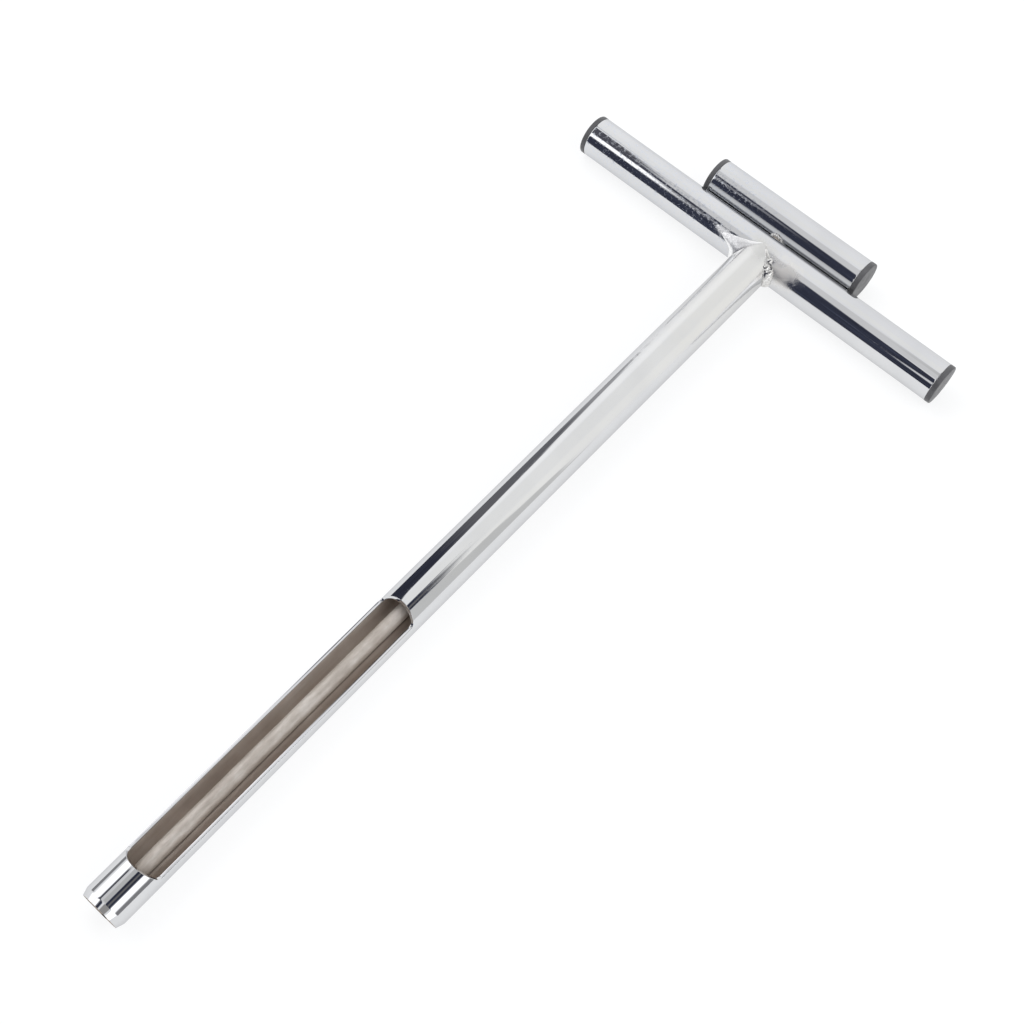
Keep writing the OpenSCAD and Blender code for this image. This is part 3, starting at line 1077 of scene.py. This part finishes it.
# %% The light tent
# each patch, painted in order: right from..to, away from..to, softness right and away, colour,
# slant of its right-hand edges with away, slant of its far edges with right, clutter
DARK = (0.026, 0.028, 0.042)
SLANT_AWAY, SLANT_RIGHT = 0.29, -0.24  # where a slanted edge crosses its straight one
PATCHES = (
    (-0.85, -0.35, 0.30, 1.30, 0.22, 0.12, (1.19, 1.19, 1.19), 0.0, 0.0, 0.0),
    (-0.35, 0.55, 0.26, 0.60, 0.10, 0.05, (1.03, 1.03, 1.02), 0.0, 0.0, 0.0),
    (0.55, 0.92, 0.26, 0.60, 0.10, 0.05, (1.09, 1.085, 1.06), 0.0, 0.0, 0.0),
    (-0.31, 0.75, -0.46, 0.065, 0.02, 0.03, (0.78, 0.78, 0.79), 0.0, 0.0, 0.0),
    (-0.13, 0.19, -0.10, 0.16, 0.04, 0.03, (0.61, 0.61, 0.61), 0.0, 0.0, 0.0),
    (-0.62, 0.75, -1.30, -0.40, 0.03, 0.03, DARK, 0.0, 0.9, 1.0),
    (-0.885, -0.52, -0.50, 0.17, 0.035, 0.03, (1.75, 1.75, 1.78), 0.0, 0.0, 0.0),
    (0.68, 0.925, -0.75, 0.22, 0.02, 0.03, (1.75, 1.75, 1.78), 0.0, 0.0, 0.0),
    (-0.47, -0.32, -0.47, 0.07, 0.02, 0.02, (0.085, 0.085, 0.10), 0.0, 0.0, 0.6),
    (0.20, 0.65, -0.50, 0.31, 0.025, 0.02, DARK, 0.0, 0.0, 1.0),
    (0.10, 0.58, -0.80, -0.49, 0.03, 0.03, (0.36, 0.35, 0.34), 0.0, 0.0, 0.4),
    (0.375, 0.49, -0.50, 0.30, 0.03, 0.03, (0.16, 0.155, 0.15), 0.0, 0.0, 0.5),
    (-1.10, -0.51, 0.20, 0.44, 0.03, 0.03, DARK, 2.1, 0.0, 0.6),
    (-1.10, -0.51, 0.325, 0.47, 0.03, 0.02, (0.15, 0.15, 0.16), 2.1, 0.0, 0.4),
    (-1.10, -0.50, 0.42, 0.47, 0.03, 0.02, (0.42, 0.42, 0.43), 2.1, 0.0, 0.4),
    (0.64, 1.10, 0.20, 0.42, 0.02, 0.03, (0.70, 0.70, 0.69), -2.2, 0.0, 0.3),
    (-0.92, -0.30, -0.72, -0.50, 0.02, 0.03, (1.60, 1.60, 1.62), 0.0, 0.0, 0.0),
    (-0.30, -0.235, -0.64, -0.52, 0.02, 0.03, (0.26, 0.26, 0.28), 0.0, 0.0, 0.5),
    (-0.127, 0.00, -0.875, -0.79, 0.010, 0.02, (0.80, 0.80, 0.82), 0.0, 0.0, 0.0),
    (-1.10, -0.955, -0.20, 0.20, 0.02, 0.05, (0.28, 0.28, 0.29), 0.0, 0.0, 0.0),
    (0.945, 1.10, -0.20, 0.20, 0.015, 0.05, (0.27, 0.27, 0.28), 0.0, 0.0, 0.0),
)


def build_world():
    """The tent as the world's shader: a bright ground colour and the patches over it."""
    world = bpy.data.worlds.new("light_tent")
    bpy.context.scene.world = world
    world.use_nodes = True
    tree = world.node_tree
    link = tree.links.new
    background = tree.nodes["Background"]
    toward = add_node(tree, "ShaderNodeTexCoord").outputs["Generated"]
    # the edges of every patch wander a little
    wander = add_node(tree, "ShaderNodeTexNoise", inputs={"Scale": 7.0, "Detail": 3.0})
    link(toward, wander.inputs["Vector"])
    centred = add_node(tree, "ShaderNodeVectorMath", operation="MULTIPLY_ADD")
    centred.inputs[1].default_value = (0.07, 0.07, 0.0)
    centred.inputs[2].default_value = (-0.035, -0.035, 0.0)
    link(wander.outputs["Color"], centred.inputs[0])
    shifted = add_node(tree, "ShaderNodeVectorMath", operation="ADD")
    link(toward, shifted.inputs[0])
    link(centred.outputs["Vector"], shifted.inputs[1])
    split = add_node(tree, "ShaderNodeSeparateXYZ")
    link(shifted.outputs["Vector"], split.inputs[0])
    right, away, _ = split.outputs
    glints = ramp(tree, noise(tree, toward, 26.0, 6.0, 0.72), [
        (0.40, (0.0, 0.0, 0.0)), (0.55, (0.02, 0.024, 0.04)),
        (0.66, (0.07, 0.085, 0.13)), (0.76, (0.30, 0.33, 0.42))])
    colour = None
    for x0, x1, y0, y1, soft_x, soft_y, paint, slant_x, slant_y, mess in PATCHES:
        across = combine(tree, right, combine(tree, away, slant_x), "ADD")
        across = combine(tree, across, slant_x * SLANT_AWAY, "SUBTRACT")
        depth = combine(tree, away, combine(tree, right, slant_y), "ADD")
        depth = combine(tree, depth, slant_y * SLANT_RIGHT, "SUBTRACT")
        mask = combine(tree, soft_band(tree, across, x0, x1, soft_x),
                       soft_band(tree, depth, y0, y1, soft_y))
        busy = add_node(tree, "ShaderNodeVectorMath", operation="MULTIPLY_ADD")
        busy.inputs[1].default_value = (mess, mess, mess)
        busy.inputs[2].default_value = paint
        link(glints, busy.inputs[0])
        layer = add_node(tree, "ShaderNodeMix", data_type="RGBA")
        layer.clamp_factor = True
        link(mask, layer.inputs[0])
        if colour is None:
            layer.inputs[6].default_value = (1.005, 1.01, 1.03, 1.0)
        else:
            link(colour, layer.inputs[6])
        link(busy.outputs["Vector"], layer.inputs[7])
        colour = layer.outputs[2]
    link(colour, background.inputs["Color"])
    background.inputs["Strength"].default_value = 1.0
    return world


world = build_world()
bpy.context.scene.view_settings.view_transform = "Standard"
print("world:", world.name)


# %% Lamps
def area_lamp(name, place, width, power):
    """A square soft lamp that points at the middle of the scene and never shows itself."""
    data = bpy.data.lights.new(name, "AREA")
    data.shape = "RECTANGLE"
    data.size = data.size_y = width
    data.energy = power
    lamp = bpy.data.objects.new(name, data)
    lamp.location = place
    lamp.rotation_euler = (-Vector(place)).to_track_quat("-Z", "Y").to_euler()
    lamp.visible_glossy = False
    lamp.visible_camera = False
    bpy.context.scene.collection.objects.link(lamp)
    return lamp


area_lamp("soft_left", (-0.9, 0.2, 1.1), 1.2, 6.0)
area_lamp("soft_right", (1.0, 0.3, 1.0), 1.0, 4.0)
print("lamps: soft_left, soft_right")

# %% [markdown]
# ## Camera
# A long tool seen from fairly close: the tip is nearer than the handles and looks wider. The
# camera stands almost above the tip, off to the right, and is rolled so the tool runs from the
# lower left to the upper right.

# %% Camera
def build_camera():
    """The camera, placed from the tip and turned so that its roll is counted from the tube."""
    data = bpy.data.cameras.new("camera")
    data.sensor_width = 36.0
    data.lens = 57.17
    camera = bpy.data.objects.new("camera", data)
    bpy.context.scene.collection.objects.link(camera)
    eye = Vector((0.23327, TIP_Y - 0.02278, AXIS_Z + 0.78354))
    target = Vector((0.00372, TIP_Y + 0.29139, AXIS_Z))
    roll = math.radians(-45.164)
    forward = (target - eye).normalized()
    along = Vector((0, 1, 0))
    up = (along - forward * along.dot(forward)).normalized()
    right = forward.cross(up)
    top = up * math.cos(roll) + right * math.sin(roll)
    side = forward.cross(top)
    axes = Matrix((side, top, -forward)).transposed()
    camera.matrix_world = Matrix.Translation(eye) @ axes.to_4x4()
    data.clip_start, data.clip_end = 0.01, 50.0
    bpy.context.scene.camera = camera
    return camera


camera = build_camera()
print("camera lens mm:", round(camera.data.lens, 2))
